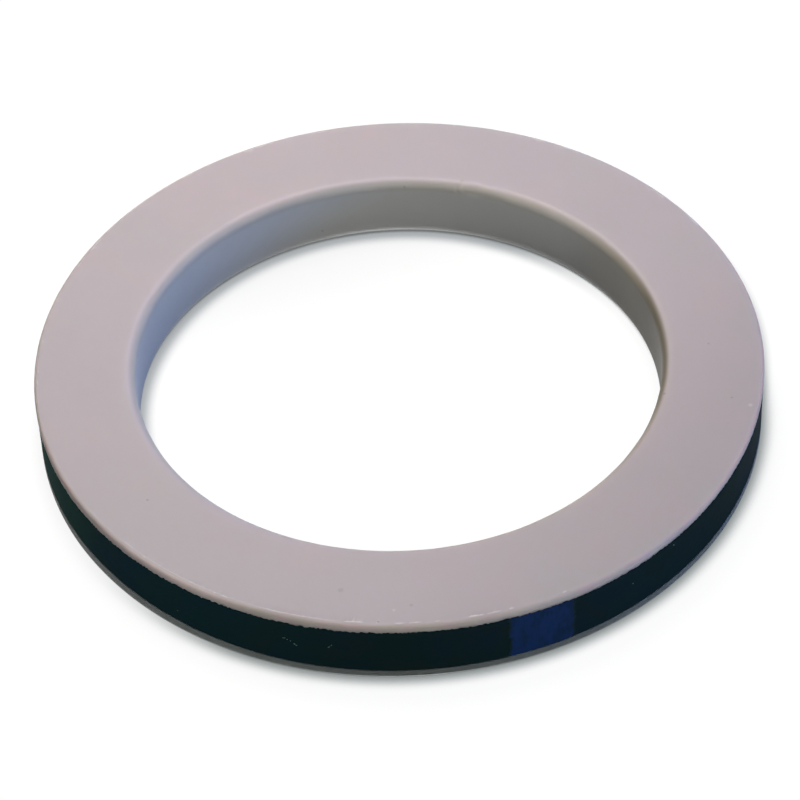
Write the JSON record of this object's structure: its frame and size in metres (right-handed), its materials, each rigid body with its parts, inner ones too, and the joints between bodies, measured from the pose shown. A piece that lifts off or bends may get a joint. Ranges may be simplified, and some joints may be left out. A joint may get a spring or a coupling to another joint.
{
  "type": "flat envelope gasket",
  "caption": "Flat ring gasket: a white PTFE envelope, U-shaped in section and open at the rim, lines the bore and covers both faces of a black rubber filler.",
  "frame": {"origin": "centre of the lower sealing face, on the bore axis", "axes": "+Z along the bore axis, towards the upper sealing face; +X and +Y lie in the sealing face"},
  "size_m": [0.0666, 0.0666, 0.0066],
  "materials": {
    "ptfe": "turned, waxy satin",
    "rubber": "cut, matt, with a blue paint mark on the rim"
  },
  "bodies": {
    "root": {"envelope": "ptfe", "filler_ring": "rubber"}
  },
  "joints": []
}
